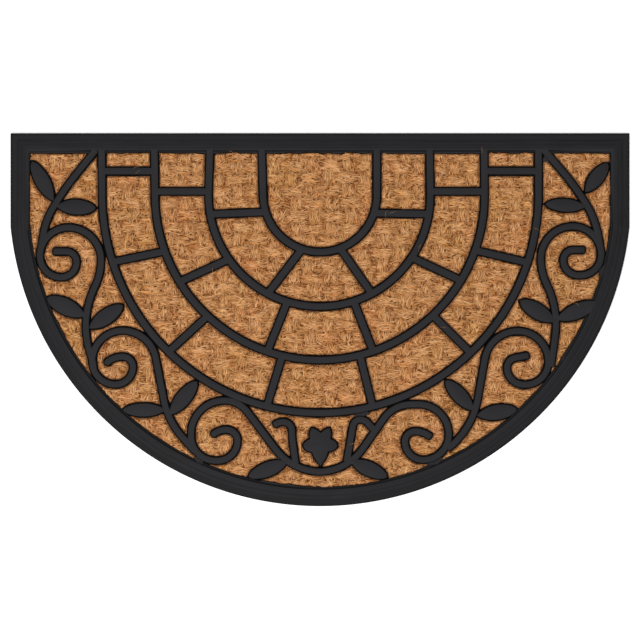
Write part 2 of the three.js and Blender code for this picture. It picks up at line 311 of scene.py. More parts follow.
# Stray hairs of coir that lie over the rubber, by their middles in millimetres
HAIRS = [
    (-220.5, 179), (-222, 185), (-98.7, 207), (-84, 210), (-106, 203), (87.8, 129.9),
    (79, 128), (150, -9), (-130, 60), (120, 88), (-31, -62), (212, 62), (-265, 30),
    (40, -150), (262, 110), (196, 206), (20, 209), (-300, 160), (310, 20),
]
HAIR = {"lengths": (8, 15), "thick": 0.1, "wide": 0.14, "bend": 0.25, "above": 0.15, "tone": 0.8}

# Colours and lamps, the limits between which patches, dust, painted light and shade and the like
# fade in, and how much each thing adds to the coir's lightness and the rubber's dust, painted light
# and shade
# The darkest coir: dark fibres, and painted shade beside the rubber and in the seams and hollows
DARK_FIBRE_AND_SHADE = (0.14, 0.04, 0.007)
# The cloth's colours are darker than the fibres': the coir's own cloth, darkened as painted shade
# between the bundles
CLOTH_COLOURS = ((0.26, 0.09, 0.02), (0.75, 0.38, 0.14))
FIBRE_COLOURS = ((0.36, 0.13, 0.028), (0.865, 0.475, 0.207))
DULLER = (0.55, 0.45, 0.35)
REDDER = (1.0, 0.84, 0.76)
YELLOWER = (0.98, 1.0, 0.8)
PALE = (0.9, 0.64, 0.42)
RUSTIER = (1.0, 0.76, 0.5)
# The rubber's sides and low parts are near black as painted shade; its level, raised tops are the grey
# of dusty rubber, as painted light
SHADED_RUBBER = (0.001, 0.001, 0.0011)
DUSTY_LIT_RUBBER = (0.0236, 0.023, 0.0258)
BLOTCHED = (0.36, 0.64)
PATCHED = (0.5, 0.72)
ODD_BUNDLE = (0.72, 0.9)
# Which faces are level tops and which parts are raised: the rubber is painted lighter there than on
# its sides and low parts
LEVEL_TOP = (0.8, 0.985)
RAISED_TOP = (6.2 * MM, 7.3 * MM)
REEDS_END = (19 * MM, 20.5 * MM)
# The coir's lightness: its tone, fine noise, and the painted shade beside the rubber taken off
LIGHTNESS = {"tone": 0.75, "fine": 0.3, "beside": 0.28}
BUNDLE_SHUFFLE = 53
DUST_AND_SHADE = {"even": 0.5, "cloud": 0.45, "reeds": 0.5, "border": 0.48, "specks": 0.12, "low": 0.7}
FLOOR = {"side": 14, "gap": 0.2 * MM, "grey": 0.93, "glow": 0.42}
SKY_STRENGTH = 0.32
LAMPS = [
    {"name": "overhead", "place": (-0.2, -0.5, 3.3), "power": 62, "size": 2.4},
    {"name": "window", "place": (-1.8, -2.3, 2.1), "power": 52, "size": 1.3},
]


def ready(name, add, **sizes):
    """Adds a primitive with nothing else selected, its place in its mesh."""
    bpy.ops.object.select_all(action="DESELECT")
    add(**sizes)
    piece = bpy.context.object
    piece.name = name
    bpy.ops.object.transform_apply(location=True, rotation=True, scale=True)
    return piece


def polygon(name, sides, radius=1.0, **place):
    """A flat face with many equal sides."""
    add = bpy.ops.mesh.primitive_circle_add
    return ready(name, add, vertices=sides, radius=radius, fill_type="NGON", **place)


def take(piece):
    """Selects a piece alone and makes it the active one."""
    bpy.ops.object.select_all(action="DESELECT")
    piece.select_set(True)
    bpy.context.view_layer.objects.active = piece


def edit(piece, everything=False):
    """Opens a piece in edit mode with nothing selected, or everything."""
    take(piece)
    bpy.ops.object.mode_set(mode="EDIT")
    bpy.ops.mesh.select_mode(type="FACE")
    bpy.ops.mesh.select_all(action="SELECT" if everything else "DESELECT")


def done():
    bpy.ops.object.mode_set(mode="OBJECT")


def choose(piece, kind, test):
    """Selects the vertices, edges or faces that pass a test, and what lies between them."""
    bpy.ops.mesh.select_mode(type=kind)
    bpy.ops.mesh.select_all(action="DESELECT")
    shape = bmesh.from_edit_mesh(piece.data)
    for part in {"VERT": shape.verts, "EDGE": shape.edges, "FACE": shape.faces}[kind]:
        part.select = test(part)
    shape.select_flush_mode()
    bmesh.update_edit_mesh(piece.data)


def extrude(x=0.0, y=0.0, z=0.0):
    bpy.ops.mesh.extrude_region_move(TRANSFORM_OT_translate={"value": (x, y, z)})


def face_out():
    """Turns all faces of the piece in edit mode outwards."""
    bpy.ops.mesh.select_all(action="SELECT")
    bpy.ops.mesh.normals_make_consistent(inside=False)


def step_in(inward, out):
    """One step of a section: the selected face drawn inward and moved along its normal."""
    bpy.ops.mesh.inset(thickness=inward * MM, depth=out * MM, use_even_offset=True)


def copy_of(piece, name):
    """A copy with its own mesh."""
    new = piece.copy()
    new.data = piece.data.copy()
    new.name = name
    bpy.context.collection.objects.link(new)
    return new


def apply_all(piece):
    take(piece)
    for modifier in list(piece.modifiers):
        bpy.ops.object.modifier_apply(modifier=modifier.name)


def soften(piece, degrees):
    """Shades a piece smooth but for its sharper edges."""
    take(piece)
    bpy.ops.object.shade_smooth_by_angle(angle=math.radians(degrees))


def store(mesh, name, values):
    """Stores a number for each vertex, for the materials to read."""
    shade = mesh.attributes.new(name, "FLOAT", "POINT")
    shade.data.foreach_set("value", values.astype(np.float32))


# The camera looks straight down, as in the photograph, with the mat's middle at its centre
LENS = 120
SENSOR = 36
PHOTO_SIDE = 640
PIXEL = 1.2116 * MM
CENTRE_ROW = 319.7
CAMERA_TO_EDGE = PHOTO_SIDE * PIXEL * LENS / SENSOR
CAMERA_REACH = 20


def camera():
    view = bpy.data.cameras.new("camera")
    view.lens = LENS
    view.sensor_width = SENSOR
    view.shift_y = (CENTRE_ROW - PHOTO_SIDE / 2) / PHOTO_SIDE
    view.clip_end = CAMERA_REACH
    eye = bpy.data.objects.new("camera", view)
    eye.location = (0, 0, WALL_HEAD * MM + CAMERA_TO_EDGE)
    bpy.context.collection.objects.link(eye)
    bpy.context.scene.camera = eye


# Shapes of the rubber

def round_face(inset, z, facing=(0, 0, 0)):
    """The round end of the outline, with straight sides that run past the straight edge."""
    centre = (0, FAN_CENTRE_Y, z * MM)
    disc = polygon("disc", ARC_SIDES, ARC_RADIUS - inset * MM, location=centre, rotation=facing)
    edit(disc, everything=True)
    bpy.ops.mesh.bisect(plane_co=(0, FAN_CENTRE_Y, 0), plane_no=(0, 1, 0), clear_outer=True)
    choose(disc, "VERT", lambda vertex: vertex.co.y > FAN_CENTRE_Y - MM)
    bpy.ops.transform.translate(value=(0, 2 * (STRAIGHT_EDGE - FAN_CENTRE_Y), 0))
    done()
    return disc


def whole_face(inset, z):
    """The mat's outline, drawn in by an inset, as one flat face."""
    piece = round_face(inset, z)
    edit(piece)
    for x, y, across, up in [
        (HALF_WIDTH - inset * MM, 0, 1, 0),
        (inset * MM - HALF_WIDTH, 0, -1, 0),
        (0, STRAIGHT_EDGE - inset * MM, 0, 1),
    ]:
        bpy.ops.mesh.select_all(action="SELECT")
        bpy.ops.mesh.bisect(plane_co=(x, y, 0), plane_no=(across, up, 0), clear_outer=True)
    done()
    return piece


def flat_outlines(inset, z, down=False):
    """The mat's outline as two faces: the round end with its sides, and the straight cuts."""
    facing = (math.pi, 0, 0) if down else (0, 0, 0)
    disc = round_face(inset, z, facing)
    length = STRAIGHT_EDGE - MAT_LOW.y + 2 * BORDER_WIDTH * MM
    middle = STRAIGHT_EDGE - length / 2
    block = ready(
        "block", bpy.ops.mesh.primitive_plane_add, size=1,
        location=(0, middle, z * MM), rotation=facing,
    )
    size = (2 * (HALF_WIDTH - inset * MM), length - 2 * inset * MM, 1)
    edit(block, everything=True)
    bpy.ops.transform.resize(value=size, center_override=(0, middle, z * MM))
    done()
    return disc, block


def combined(base, tool, operation):
    """A piece cut or joined with another, which it uses up."""
    cut = base.modifiers.new("cut", "BOOLEAN")
    cut.operation = operation
    cut.solver = "MANIFOLD"
    cut.object = tool
    apply_all(base)
    bpy.data.objects.remove(tool)
    return base


def border():
    """The backing and its thick border, with an empty tray for the coir."""
    shells = flat_outlines(0, WALL_FOOT)
    for shell in shells:
        edit(shell, everything=True)
        extrude(z=(WALL_HEAD - WALL_FOOT) * MM)
        for inward, up in BORDER_STEPS:
            step_in(inward, up)
        choose(shell, "FACE", lambda face: face.normal.z < -0.5)
        step_in(WALL_FOOT, WALL_FOOT)
        done()
    whole = combined(*shells, "INTERSECT")
    trays = flat_outlines(BRIM_INSET, TOP_FLAT + BRIM_ABOVE, down=True)
    for tray in trays:
        edit(tray, everything=True)
        extrude(z=-BRIM_ABOVE * MM)
        for inward, deeper in TRAY_STEPS:
            step_in(inward, deeper)
        reached = TOP_FLAT - sum(deeper for _, deeper in TRAY_STEPS)
        extrude(z=(TRAY_FLOOR - reached) * MM)
        done()
    whole = combined(whole, combined(*trays, "INTERSECT"), "DIFFERENCE")
    whole.name = "border"
    return whole


def lip():
    """Flash along the tray's ledge, its inner edge ragged and leaning."""
    ring = whole_face(LIP["from"], LIP["bottom"])
    hole = whole_face(LIP["to"], LIP["bottom"] - LIP_CLEAR)
    edit(hole)
    choose(hole, "EDGE", lambda edge: edge.calc_length() > LIP_LONG_EDGE * MM)
    bpy.ops.mesh.subdivide(number_cuts=LIP["cuts"])
    done()
    for vertex in hole.data.vertices:
        inward = -vertex.co.to_2d().normalized().to_3d()
        if vertex.co.y > STRAIGHT_EDGE - (LIP["to"] + LIP_CLEAR) * MM:
            vertex.co.y -= LIP_WIDER * MM
        for row in LIP_WANDERS:
            vertex.co += inward * noise.noise(vertex.co * row["waves"]) * row["reach"] * MM
    height = LIP["top"] - LIP["bottom"]
    past = height + 2 * LIP_CLEAR
    edit(ring, everything=True)
    extrude(z=height * MM)
    done()
    edit(hole, everything=True)
    extrude(z=past * MM)
    lean = LIP["lean"] * MM * past / height
    wider = (1 + lean / HALF_WIDTH, 1 + lean / STRAIGHT_EDGE, 1)
    bpy.ops.transform.resize(value=wider, center_override=(0, 0, 0))
    done()
    return combined(ring, hole, "DIFFERENCE")


def rib_section(width):
    """A rib's section, upright across +X, from its foot to its rounded, slightly domed top."""
    height = RIB_CROWN - RIB_CAMBER - RIB_FOOT
    piece = ready(
        "section", bpy.ops.mesh.primitive_plane_add, size=1,
        rotation=(math.pi / 2, 0, math.pi / 2), location=(0, 0, 0.5),
    )
    edit(piece, everything=True)
    bpy.ops.transform.resize(value=(1, width * MM, height * MM), center_override=(0, 0, 0))
    bpy.ops.transform.translate(value=(0, 0, RIB_FOOT * MM))
    middle = (RIB_FOOT + height / 2) * MM
    choose(piece, "VERT", lambda vertex: vertex.co.z > middle)
    narrowed = (width - 2 * RIB_DRAFT) / width
    bpy.ops.transform.resize(value=(1, narrowed, 1), center_override=(0, 0, 0))
    bpy.ops.mesh.bevel(offset=RIB_ROUND * MM, segments=RIB_SEGMENTS, affect="VERTICES")
    level = (RIB_FOOT + height) * MM - TOUCHING
    choose(piece, "VERT", lambda vertex: vertex.co.z > level)
    bpy.ops.mesh.subdivide(number_cuts=1)
    choose(piece, "VERT", lambda vertex: vertex.co.z > level and abs(vertex.co.y) < TOUCHING)
    bpy.ops.transform.translate(value=(0, 0, RIB_CAMBER * MM))
    done()
    return piece


def walked(x, y, heading, moves):
    """The place and heading at the end of a line of moves."""
    for size, turn in moves:
        if turn == 0:
            x += size * math.cos(heading)
            y += size * math.sin(heading)
            continue
        angle = math.radians(turn)
        reach = math.copysign(size, angle)
        x += reach * (math.sin(heading + angle) - math.sin(heading))
        y -= reach * (math.cos(heading + angle) - math.cos(heading))
        heading += angle
    return x, y, heading


def mirrored(moves):
    return [(size, -turn) for size, turn in moves]


def rib(name, section, x, y, heading, moves, free=False):
    """A rib run along its moves from a section. A free start has a rounded end."""
    if free:
        x, y, _ = walked(x, y, heading, [(-END_OUT, 0)])
    piece = copy_of(section, name)
    piece.data.transform(Matrix.Translation((x * MM, y * MM, 0)) @ Matrix.Rotation(heading, 4, "Z"))
    edit(piece, everything=True)
    reached = 1
    for scale, length in END_STEPS if free else []:
        foot = (x * MM, y * MM, RIB_FOOT * MM)
        bpy.ops.transform.resize(value=(scale / reached,) * 3, center_override=foot)
        reached = scale
        if length:
            end_x, end_y, _ = walked(x, y, heading, [(length, 0)])
            extrude((end_x - x) * MM, (end_y - y) * MM)
            x, y = end_x, end_y
    for size, turn in moves:
        end_x, end_y, end_heading = walked(x, y, heading, [(size, turn)])
        if turn == 0:
            extrude((end_x - x) * MM, (end_y - y) * MM)
        else:
            angle = math.radians(turn)
            reach = math.copysign(size, angle)
            centre_x = x - reach * math.sin(heading)
            centre_y = y + reach * math.cos(heading)
            bpy.ops.mesh.spin(
                steps=math.ceil(abs(angle) / (2 * math.acos(1 - FLATNESS / size))),
                angle=-angle, center=(centre_x * MM, centre_y * MM, 0), axis=(0, 0, 1),
            )
        x, y, heading = end_x, end_y, end_heading
    bpy.ops.mesh.select_all(action="SELECT")
    bpy.ops.mesh.remove_doubles(threshold=TOUCHING)
    face_out()
    done()
    return piece


def fan_leg(radius, lean):
    """Where a leaning leg starts at the top, and its length down to its arc."""
    lean = math.radians(lean)
    foot_x = radius * math.cos(lean)
    foot_y = FAN_CENTRE_Y / MM - radius * math.sin(lean)
    length = (STRAIGHT_EDGE / MM - RIB_END_INSET - foot_y) / math.cos(lean)
    return foot_x + length * math.sin(lean), length


def fan_arches():
    section = rib_section(FAN_RIB)
    arches = []
    for number, row in enumerate(ARCHES, 1):
        x, leg = fan_leg(row["left"], row["left_lean"])
        _, far_leg = fan_leg(row["right"], row["right_lean"])
        arc = [(row[side], 90 - row[f"{side}_lean"]) for side in ("left", "right")]
        moves = [(leg, 0), *arc, (far_leg, 0)]
        top = STRAIGHT_EDGE / MM - RIB_END_INSET
        heading = math.radians(row["left_lean"] - 90)
        arches.append(rib(f"arch_{number}", section, -x, top, heading, moves))
    bpy.data.objects.remove(section)
    return arches


def fan_point(ring, from_down, side):
    angle = math.radians(from_down)
    radius = ARCHES[ring]["left" if side == LEFT else "right"]
    return side * radius * math.sin(angle), FAN_CENTRE_Y / MM - radius * math.cos(angle)


def fan_joints():
    section = rib_section(JOINT_RIB)
    ends = []
    for side, hand in ((LEFT, "left"), (RIGHT, "right")):
        for row in LEG_JOINTS:
            y = FAN_CENTRE_Y / MM + row["height"]
            inner, outer = ARCHES[row["ring"]][hand], ARCHES[row["ring"] + 1][hand]
            ends.append(((side * inner, y), (side * outer, y)))
        for row in FAN_JOINTS:
            inner, outer = row[hand]
            ends.append((fan_point(row["ring"], inner, side), fan_point(row["ring"] + 1, outer, side)))
    joints = []
    for number, ((x, y), (end_x, end_y)) in enumerate(ends, 1):
        heading = math.atan2(end_y - y, end_x - x)
        length = math.hypot(end_x - x, end_y - y)
        joints.append(rib(f"joint_{number}", section, x, y, heading, [(length, 0)]))
    bpy.data.objects.remove(section)
    return joints


def on_side(row, x, y, heading, moves):
    """The start and moves of a rib, mirrored if it is on the right."""
    if row["side"] == LEFT:
        return x, y, heading, moves
    return -x, y, math.pi - heading, mirrored(moves)


def scrolls():
    """Each scroll runs from the inner end of its coil, out and over, to the end of its stem."""
    section = rib_section(SCROLL_RIB)
    ribs = []
    for number, row in enumerate(SCROLLS, 1):
        x, y, heading = walked(row["x"], row["y"], -math.pi / 2, row["coil"])
        moves = mirrored(reversed(row["coil"])) + row["stem"]
        start = on_side(row, x, y, heading + math.pi, moves)
        ribs.append(rib(f"scroll_{number}", section, *start, free=True))
    for number, row in enumerate(TENDRILS, 1):
        start = on_side(row, row["x"], row["y"], math.radians(row["heading"]), row["moves"])
        ribs.append(rib(f"tendril_{number}", section, *start, free=row["free"]))
    bpy.data.objects.remove(section)
    return ribs


def raise_plate(piece):
    """Raises a flat face to a plate with leaning sides and a rounded edge."""
    edit(piece)
    choose(piece, "FACE", lambda face: face.normal.z < 0)
    bpy.ops.mesh.flip_normals()
    bpy.ops.mesh.select_all(action="SELECT")
    extrude(z=TOUCHING)
    for inward, up in PLATE_STEPS:
        step_in(inward, up)
    face_out()
    done()
    return piece


def leaf(name, foot, tip, width):
    foot = Vector(foot) * MM
    tip = Vector(tip) * MM
    middle = (foot + tip) / 2
    length = (tip - foot).length
    piece = polygon(name, LEAF_SIDES)
    for vertex in piece.data.vertices:
        along = 1 - 2 * math.acos(max(-1, min(1, vertex.co.x))) / math.pi
        fullness = LEAF_FULLNESS["tip" if along > 0 else "foot"]
        side = math.copysign((1 - along**2) ** fullness, vertex.co.y)
        vertex.co = (along * length / 2, side * width * MM / 2, 0)
    turn = math.atan2(tip.y - foot.y, tip.x - foot.x)
    place = Matrix.Translation((middle.x, middle.y, RIB_FOOT * MM))
    piece.data.transform(place @ Matrix.Rotation(turn, 4, "Z"))
    return raise_plate(piece)


def flower_edge():
    """The flower's edge as angles in degrees and distances from its middle."""
    edge = []
    for row, following in zip(PETALS, PETALS[1:] + PETALS[:1]):
        end = following["notch"] + (360 if following["notch"] < row["notch"] else 0)
        for start, stop, depth in (
            (row["tip"], row["notch"], row["depth"]),
            (row["tip"], end, following["depth"]),
        ):
            half = []
            for step in range(PETAL_STEPS):
                share = (step if stop == end else PETAL_STEPS - step) / PETAL_STEPS
                radius = row["radius"] - (row["radius"] - depth) * share ** row["roundness"]
                half.append((start + (stop - start) * share, radius))
            edge += half
    return edge


def flower():
    edge = flower_edge()
    piece = polygon("flower", len(edge))
    around = sorted(piece.data.vertices, key=lambda vertex: math.atan2(vertex.co.y, vertex.co.x))
    for vertex, (angle, radius) in zip(around, edge):
        turn = math.radians(angle)
        vertex.co = Vector((math.cos(turn), math.sin(turn), 0)) * radius * MM
    piece.data.transform(Matrix.Translation((FLOWER_X * MM, FLOWER_Y * MM, RIB_FOOT * MM)))
    return raise_plate(piece)


def webs():
    made = []
    for number, (x, y, length, width, turn) in enumerate(WEBS, 1):
        piece = polygon(f"web_{number}", WEB_SIDES, 0.5)
        size = Matrix.Diagonal((length * MM, width * MM, 1, 1))
        foot = (x * MM, y * MM, RIB_FOOT * MM)
        turned = Matrix.Translation(foot) @ Matrix.Rotation(math.radians(turn), 4, "Z")
        piece.data.transform(turned @ size)
        edit(piece, everything=True)
        bpy.ops.transform.vertex_random(offset=WEB_RAGGED * MM, uniform=1, normal=0, seed=number)
        bpy.ops.transform.resize(value=(1, 1, 0), center_override=foot)
        face_out()
        extrude(z=(WEB_TOP - RIB_FOOT) * MM)
        step_in(**WEB_EDGE)
        face_out()
        done()
        made.append(piece)
    return made


def united(base, others, name):
    """One closed moulding from a piece and all that stands on it."""
    tools = bpy.data.collections.new("tools")
    bpy.context.scene.collection.children.link(tools)
    for piece in others:
        for home in list(piece.users_collection):
            home.objects.unlink(piece)
        tools.objects.link(piece)
    union = base.modifiers.new("union", "BOOLEAN")
    union.operation = "UNION"
    union.solver = "MANIFOLD"
    union.operand_type = "COLLECTION"
    union.collection = tools
    apply_all(base)
    for piece in others:
        bpy.data.objects.remove(piece)
    bpy.data.collections.remove(tools)
    base.name = name
    return base


def moulding():
    leaves = [leaf(f"leaf_{number}", *row) for number, row in enumerate(LEAVES, 1)]
    raised = fan_arches() + fan_joints() + scrolls() + leaves + [flower(), lip()] + webs()
    return united(border(), raised, "moulded_rubber")


# Shapes of the coir

class RubberMap:
    """How far each place on the mat is from the nearest rubber that stands above the coir."""

    def __init__(self, rubber):
        tree = BVHTree.FromObject(rubber, bpy.context.evaluated_depsgraph_get())
        self.low = COIR_LOW.to_2d() - Vector((MAP_PITCH, MAP_PITCH)) * MAP_MARGIN
        span = COIR_HIGH.to_2d() - self.low
        across = math.ceil(span.x / MAP_PITCH) + MAP_MARGIN + 1
        along = math.ceil(span.y / MAP_PITCH) + MAP_MARGIN + 1
        far = np.full((along, across), float(FARTHEST))
        tops = np.zeros((along, across))
        down = Vector((0, 0, -1))
        for row in range(along):
            y = self.low.y + row * MAP_PITCH
            for column in range(across):
                x = self.low.x + column * MAP_PITCH
                hit = tree.ray_cast(Vector((x, y, 2 * CROWN)), down)[0]
                if hit is not None:
                    tops[row, column] = hit.z
                if hit is None or hit.z > STANDING_RUBBER:
                    far[row, column] = 0
        steps = [(0, 1, 1.0), (1, 0, 1.0), (1, 1, math.sqrt(2)), (1, -1, math.sqrt(2))]
        for _ in range(FARTHEST):
            for up, over, length in steps:
                for sign in (1, -1):
                    moved = np.roll(far, (sign * up, sign * over), (0, 1)) + length
                    far = np.minimum(far, moved)
        self.far = far * MAP_PITCH
        self.tops = tops

    def read(self, values, x, y):
        """One of the map's arrays at arrays of places."""
        column = np.clip((x - self.low.x) / MAP_PITCH, 0, values.shape[1] - MAP_END)
        row = np.clip((y - self.low.y) / MAP_PITCH, 0, values.shape[0] - MAP_END)
        left = column.astype(int)
        below = row.astype(int)
        over = column - left
        up = row - below
        lower = values[below, left] * (1 - over) + values[below, left + 1] * over
        upper = values[below + 1, left] * (1 - over) + values[below + 1, left + 1] * over
        return lower * (1 - up) + upper * up

    def distance(self, x, y):
        """Distances to the rubber in metres."""
        return self.read(self.far, x, y)

    def top(self, x, y):
        """Heights of the rubber's upper side."""
        return self.read(self.tops, x, y)


def smooth(share):
    share = np.clip(share, 0, 1)
    return share * share * (3 - 2 * share)


def weave(x, y):
    """Whether each place shows a long block, and its place in the block, from -1 to 1."""
    wander = np.sin(x * 19 + 1.3) * np.sin(y * 23) * WANDER
    ruffle = np.sin(x * 240 + 3 * np.sin(y * 150)) * np.sin(y * 280 + 1) * RUFFLE
    rows = (y + wander + ruffle) / ROW_PITCH
    row = np.floor(rows)
    uneven = np.sin(row * 5.3) * ROW_UNEVEN - ruffle
    along = np.mod(x + wander + uneven + row * WEAVE_REPEAT / 2, WEAVE_REPEAT)
    is_long = along < LONG_BLOCK
    short_block = WEAVE_REPEAT - LONG_BLOCK
    share = np.where(is_long, along / LONG_BLOCK, (along - LONG_BLOCK) / short_block)
    return is_long, share * 2 - 1, (rows - row) * 2 - 1


def pits(x, y):
    """How much of a hollow there is at each place, from 0 to 1."""
    waves = np.sin(x * 530 + 3 * np.sin(y * 210)) * np.sin(y * 480 + 3 * np.sin(x * 170 + 1))
    return smooth((waves - PIT_LEVEL) / PIT_SLOPE)


def ground(near, x, y):
    """The height of the coir's ground cloth, pressed down beside and below the rubber."""
    _, over, up = weave(x, y)
    domes = [1 - np.abs(side) ** CUSHION_SQUARENESS for side in (over, up)]
    crown = domes[0] * domes[1] - 0.5
    pile = COIR_PILE + CUSHION * (crown * CUSHION_CROWN - pits(x, y))
    rise = smooth((near.distance(x, y) + PILE_START) / PILE_RISE)
    return COIR_PRESSED + (pile - COIR_PRESSED) * rise


def painted_shade(near, x, y):
    """How much painted shade each place has beside the rubber, from 0 to 1."""
    return 1 - smooth(near.distance(x, y) / SHADE_REACH)


def coir_cloth(near):
    """The woven coir as one thick sheet with a soft, uneven top."""
    middle = (COIR_LOW + COIR_HIGH) / 2
    span = COIR_HIGH - COIR_LOW + Vector((1, 1, 0)) * 2 * GRID_MARGIN
    cloth = ready(
        "coir_cloth", bpy.ops.mesh.primitive_grid_add,
        x_subdivisions=round(span.x / GRID_PITCH), y_subdivisions=round(span.y / GRID_PITCH),
        size=1, location=(0, 0, COIR_HIGH.z),
    )
    edit(cloth, everything=True)
    bpy.ops.transform.resize(value=(span.x, span.y, 1), center_override=(0, 0, COIR_HIGH.z))
    bpy.ops.transform.translate(value=(middle.x, middle.y, 0))
    bpy.ops.mesh.select_all(action="DESELECT")
    bpy.ops.mesh.select_mode(type="EDGE")
    bpy.ops.mesh.select_non_manifold(extend=False)
    bpy.ops.mesh.extrude_edges_move(TRANSFORM_OT_translate={"value": (0, 0, -COIR_HIGH.z)})
    bpy.ops.mesh.edge_face_add()
    face_out()
    done()
    prism = whole_face(COIR_INSET, COIR_LOW.z / MM)
    edit(prism, everything=True)
    extrude(z=2 * COIR_HIGH.z)
    done()
    combined(cloth, prism, "INTERSECT")
    places = np.empty(len(cloth.data.vertices) * 3)
    cloth.data.vertices.foreach_get("co", places)
    places = places.reshape(-1, 3)
    top = places[:, 2] > COIR_HIGH.z - TOUCHING
    places[top, 2] = ground(near, places[top, 0], places[top, 1])
    cloth.data.vertices.foreach_set("co", places.ravel())
    store(cloth.data, "tone", np.full(len(places), CLOTH_TONE))
    # The painted shade beside the rubber, which the cloth's material darkens it by
    store(cloth.data, "beside", painted_shade(near, places[:, 0], places[:, 1]))
    cloth.data.update()
    soften(cloth, CLOTH_SHARP)
    return cloth


def strand_faces(count):
    """Triangles of many spindles, each a tip, its rings and a tip."""
    faces = []
    last = 1 + RINGS * SIDES
    for side in range(SIDES):
        following = (side + 1) % SIDES
        faces.append((0, 1 + following, 1 + side))
        for ring in range(RINGS - 1):
            low = 1 + ring * SIDES
            high = low + SIDES
            faces.append((low + side, low + following, high + following))
            faces.append((low + side, high + following, high + side))
        end = last - SIDES
        faces.append((end + side, end + following, last))
    faces = np.array(faces)
    return (faces[None] + (last + 1) * np.arange(count)[:, None, None]).reshape(-1, 3)


def spindles(name, line, thick, wide, tone, beside):
    """Many thin spindles as one mesh. Each row of line holds a spindle's five places."""
    ahead = np.gradient(line, axis=1)
    ahead /= np.linalg.norm(ahead, axis=2, keepdims=True)
    aside = np.cross(ahead, (0, 0, 1))
    aside /= np.linalg.norm(aside, axis=2, keepdims=True)
    above = np.cross(aside, ahead)
    corners = [line[:, :1]]
    for ring, swell in enumerate(RING_SWELL, 1):
        for side in range(SIDES):
            angle = math.pi / 2 + side * 2 * math.pi / SIDES
            out = aside[:, ring] * (math.cos(angle) * wide * swell)[:, None]
            lift = above[:, ring] * (math.sin(angle) * thick * swell)[:, None]
            corners.append((line[:, ring] + out + lift)[:, None])
    corners.append(line[:, -1:])
    places = np.concatenate(corners, axis=1)
    mesh = bpy.data.meshes.new(name)
    mesh.from_pydata(places.reshape(-1, 3), [], strand_faces(len(line)))
    store(mesh, "tone", np.repeat(tone, places.shape[1]))
    store(mesh, "beside", np.repeat(beside, [1] + [SIDES] * RINGS + [1], axis=1).ravel())
    mesh.shade_smooth()
    piece = bpy.data.objects.new(name, mesh)
    bpy.context.collection.objects.link(piece)
    edit(piece)
    face_out()
    done()
    return piece


def bent(x, y, heading, length, bend, share):
    """Places along slightly bent lines, at shares of their lengths from -0.5 to 0.5."""
    run = share * length[:, None]
    aside = bend[:, None] * length[:, None] * BOW * share ** 2
    ahead_x, ahead_y = np.cos(heading)[:, None], np.sin(heading)[:, None]
    return x[:, None] + ahead_x * run - ahead_y * aside, y[:, None] + ahead_y * run + ahead_x * aside


def clear_ends(near, lines):
    """How far each line runs clear of the rubber from its middle, backward and forward."""
    share = np.linspace(-0.5, 0.5, 2 * CLEAR_STEPS + 1)[None]
    clear = near.distance(*bent(*lines, share)) > STRAND_CLEARANCE
    stopped = np.zeros((len(clear), 1), dtype=bool)
    forward = np.argmin(np.hstack([clear[:, CLEAR_STEPS:], stopped]), axis=1)
    backward = np.argmin(np.hstack([clear[:, CLEAR_STEPS::-1], stopped]), axis=1)
    reach = 2 * CLEAR_STEPS
    return -np.maximum(backward - 1, 0) / reach, np.maximum(forward - 1, 0) / reach


def scattered(near, chance):
    """Uneven places all over the coir, clear of the rubber."""
    across = np.arange(COIR_LOW.x, COIR_HIGH.x, STRAND_SPACING)
    along = np.arange(COIR_LOW.y, COIR_HIGH.y, STRAND_SPACING)
    x, y = (side.ravel() for side in np.meshgrid(across, along))
    x = x + chance.uniform(-STRAND_SCATTER, STRAND_SCATTER, x.size) * STRAND_SPACING
    y = y + chance.uniform(-STRAND_SCATTER, STRAND_SCATTER, y.size) * STRAND_SPACING
    kept = near.distance(x, y) > STRAND_CLEARANCE
    return x[kept], y[kept]


